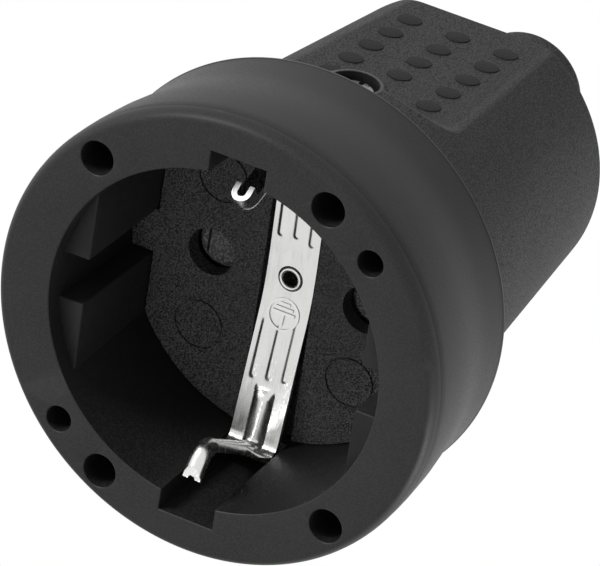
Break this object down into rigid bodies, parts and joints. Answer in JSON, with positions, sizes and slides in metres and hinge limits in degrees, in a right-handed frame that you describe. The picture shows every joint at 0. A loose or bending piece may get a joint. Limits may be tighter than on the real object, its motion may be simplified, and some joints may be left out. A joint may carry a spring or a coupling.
{
  "type": "earthed cable socket",
  "caption": "Round rubber cable socket for an earthed two-pin plug: keyed well, side earth contact arms, shuttered pin holes, tapered grip with flats and a cord neck.",
  "frame": {"origin": "centre of the open face, on the plane of the face ring", "axes": "+Z along the axis from the face to the cord neck, +Y towards the grip flat with the housing screw, pin holes on the X axis"},
  "size_m": [0.0524, 0.0524, 0.077],
  "materials": {
    "housing_rubber": "satin, fine grain on the grip",
    "insert_plastic": "coarse spark-eroded",
    "shutter_plastic": "smooth",
    "earth_nickel": "bright nickel plate",
    "contact_brass": "plain stamped",
    "spring_steel": "blued wire and band",
    "zinc_steel": "zinc plated"
  },
  "bodies": {
    "socket": {"housing": "housing_rubber", "face_plate": "insert_plastic", "contact_base": "insert_plastic", "terminal_carrier": "insert_plastic", "shutter_spring": "spring_steel", "earth_strip": "earth_nickel", "earth_eyelet": "earth_nickel", "earth_link": "contact_brass", "earth_terminal": "contact_brass", "line_contact": "contact_brass", "neutral_contact": "contact_brass", "line_clip": "spring_steel", "neutral_clip": "spring_steel", "terminal_screws": "zinc_steel", "cord_clamp_bar": "insert_plastic", "cord_clamp_screws": "zinc_steel", "cord_clamp_nuts": "zinc_steel", "housing_screw": "zinc_steel", "housing_nut": "zinc_steel"},
    "shutter": {"shutter": "shutter_plastic"}
  },
  "joints": [
    {"name": "shutter_turn", "type": "hinge", "parent": "socket", "child": "shutter", "pos_m": [0, 0, 0.0208], "axis": [0, 0, 1], "range_deg": [0, 36], "stiffness_Nm_per_rad": 0.004}
  ]
}
